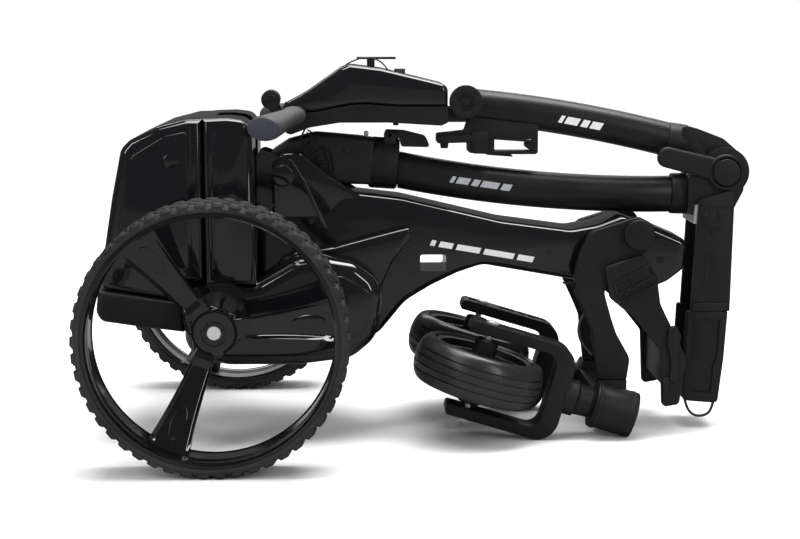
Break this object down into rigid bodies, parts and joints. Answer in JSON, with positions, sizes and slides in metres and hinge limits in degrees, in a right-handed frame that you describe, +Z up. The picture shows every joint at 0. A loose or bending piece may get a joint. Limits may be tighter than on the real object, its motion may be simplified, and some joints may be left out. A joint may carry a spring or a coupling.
{
  "type": "electric golf trolley",
  "caption": "Folding electric golf trolley, folded: two driven rear wheels, battery case, beam, folding mast and handle, and swivelling front casters on a folding arm.",
  "frame": {"origin": "middle of the folded trolley's footprint, on the floor", "axes": "+X to the front, from the rear axle to the fold knuckle; +Y to the trolley's left; +Z up"},
  "size_m": [0.832, 0.61, 0.478],
  "materials": {
    "gloss_black": "polished moulded plastic",
    "matte_black": "fine moulded grain",
    "tube_black": "satin powder coat",
    "tyre_rubber": "dusty tread",
    "caster_rubber": "smooth, slightly glossy",
    "grip_rubber": "soft grip",
    "cap_grey": "dark blue grey",
    "spine_steel": "black e-coat",
    "motor_steel": "zinc",
    "bearing_steel": "ground",
    "axle_steel": "turned",
    "clip_steel": "spring wire",
    "screw_black": "black oxide",
    "board_green": "circuit board",
    "cell_wrap": "shrink wrap",
    "cord_black": "elastic cord"
  },
  "bodies": {
    "chassis": {"chassis_spine": "spine_steel", "left_beam_cover": "gloss_black", "right_beam_cover": "gloss_black", "motor_cover": "gloss_black", "left_motor_pod": "gloss_black", "right_motor_pod": "gloss_black", "drive_motors": "motor_steel", "gearboxes": "matte_black", "axle_bearings": "bearing_steel", "controller_board": "board_green", "battery_tray": "matte_black", "cover_screws": "screw_black", "mast_pivot_pin": "matte_black", "arm_pivot_pin": "matte_black"},
    "right_rear_wheel": {"right_rear_tyre": "tyre_rubber", "right_rear_wheel": "gloss_black", "right_half_shaft": "axle_steel"},
    "left_rear_wheel": {"left_rear_tyre": "tyre_rubber", "left_rear_wheel": "gloss_black", "left_half_shaft": "axle_steel"},
    "battery": {"battery_case": "gloss_black", "battery_cells": "cell_wrap"},
    "mast": {"mast_bracket": "matte_black", "mast_tube": "tube_black", "knuckle_base": "matte_black", "knuckle_pin": "matte_black", "bag_bracket": "matte_black", "bag_bracket_foot": "matte_black", "bag_cord": "cord_black"},
    "mast_latch": {"mast_latch_lever": "matte_black"},
    "fold_latch": {"fold_lever": "matte_black"},
    "handle": {"handle_tube": "tube_black", "tilt_knob": "matte_black", "knuckle_arm": "matte_black", "accessory_holder": "matte_black"},
    "console": {"console_shell": "gloss_black", "console_tray": "matte_black", "console_board": "board_green", "card_clip": "clip_steel", "grip_bar": "tube_black", "right_grip": "grip_rubber", "left_grip": "grip_rubber", "grip_caps": "cap_grey"},
    "dial": {"control_dial": "matte_black"},
    "button": {"power_button": "cap_grey"},
    "front_arm": {"right_arm_plate": "matte_black", "left_arm_plate": "matte_black", "caster_yoke": "matte_black", "right_cradle_wing": "matte_black", "left_cradle_wing": "matte_black", "bag_cradle": "matte_black", "arm_cable": "cord_black"},
    "right_caster": {"right_caster_fork": "matte_black", "right_caster_bolt": "axle_steel"},
    "left_caster": {"left_caster_fork": "matte_black", "left_caster_bolt": "axle_steel"},
    "right_caster_wheel": {"right_caster_tyre": "caster_rubber", "right_caster_rim": "matte_black"},
    "left_caster_wheel": {"left_caster_tyre": "caster_rubber", "left_caster_rim": "matte_black"}
  },
  "joints": [
    {"name": "mast_fold", "type": "hinge", "parent": "chassis", "child": "mast", "pos_m": [-0.179, 0, 0.33], "axis": [0, -1, 0], "range_deg": [0, 110]},
    {"name": "handle_fold", "type": "hinge", "parent": "mast", "child": "handle", "pos_m": [0.386, 0, 0.332], "axis": [0, 1, 0], "range_deg": [0, 160]},
    {"name": "front_arm_fold", "type": "hinge", "parent": "chassis", "child": "front_arm", "pos_m": [0.269, 0, 0.257], "axis": [0, -1, 0], "range_deg": [0, 107]},
    {"name": "fold_latch", "type": "hinge", "parent": "mast", "child": "fold_latch", "pos_m": [0.386, 0, 0.332], "axis": [0, 1, 0], "range_deg": [0, 25], "stiffness_Nm_per_rad": 0.4},
    {"name": "mast_latch", "type": "hinge", "parent": "mast", "child": "mast_latch", "pos_m": [-0.043, 0, 0.379], "axis": [0, -1, 0], "range_deg": [0, 12], "stiffness_Nm_per_rad": 0.4},
    {"name": "handle_tilt", "type": "hinge", "parent": "handle", "child": "console", "pos_m": [0.053, 0, 0.422], "axis": [0, 1, 0], "range_deg": [0, 25]},
    {"name": "dial_turn", "type": "hinge", "parent": "console", "child": "dial", "pos_m": [-0.195, 0, 0.424], "axis": [0, 1, 0], "range_deg": [0, 270]},
    {"name": "button_press", "type": "slide", "parent": "console", "child": "button", "axis": [0, 0, -1], "range_m": [0, 0.0015], "stiffness_N_per_m": 500},
    {"name": "battery_slide", "type": "slide", "parent": "chassis", "child": "battery", "axis": [-0.9877, 0, 0.1564], "range_m": [0, 0.1]},
    {"name": "right_rear_wheel_spin", "type": "hinge", "parent": "chassis", "child": "right_rear_wheel", "pos_m": [-0.255, -0.267, 0.16], "axis": [0, 1, 0], "continuous": true},
    {"name": "right_caster_swivel", "type": "hinge", "parent": "front_arm", "child": "right_caster", "pos_m": [0.066, -0.09, 0.08697], "axis": [0.9578, 0, -0.2874], "continuous": true},
    {"name": "right_caster_spin", "type": "hinge", "parent": "right_caster", "child": "right_caster_wheel", "pos_m": [0.066, -0.096, 0.08697], "axis": [0.2874, 0, 0.9578], "continuous": true},
    {"name": "left_rear_wheel_spin", "type": "hinge", "parent": "chassis", "child": "left_rear_wheel", "pos_m": [-0.255, 0.267, 0.16], "axis": [0, 1, 0], "continuous": true},
    {"name": "left_caster_swivel", "type": "hinge", "parent": "front_arm", "child": "left_caster", "pos_m": [0.066, 0.09, 0.08697], "axis": [0.9578, 0, -0.2874], "continuous": true},
    {"name": "left_caster_spin", "type": "hinge", "parent": "left_caster", "child": "left_caster_wheel", "pos_m": [0.066, 0.084, 0.08697], "axis": [0.2874, 0, 0.9578], "continuous": true}
  ],
  "couplings": [
    {"joint": "handle_fold", "follows": "mast_fold", "ratio": 1.4545},
    {"joint": "front_arm_fold", "follows": "mast_fold", "ratio": 0.9727}
  ]
}
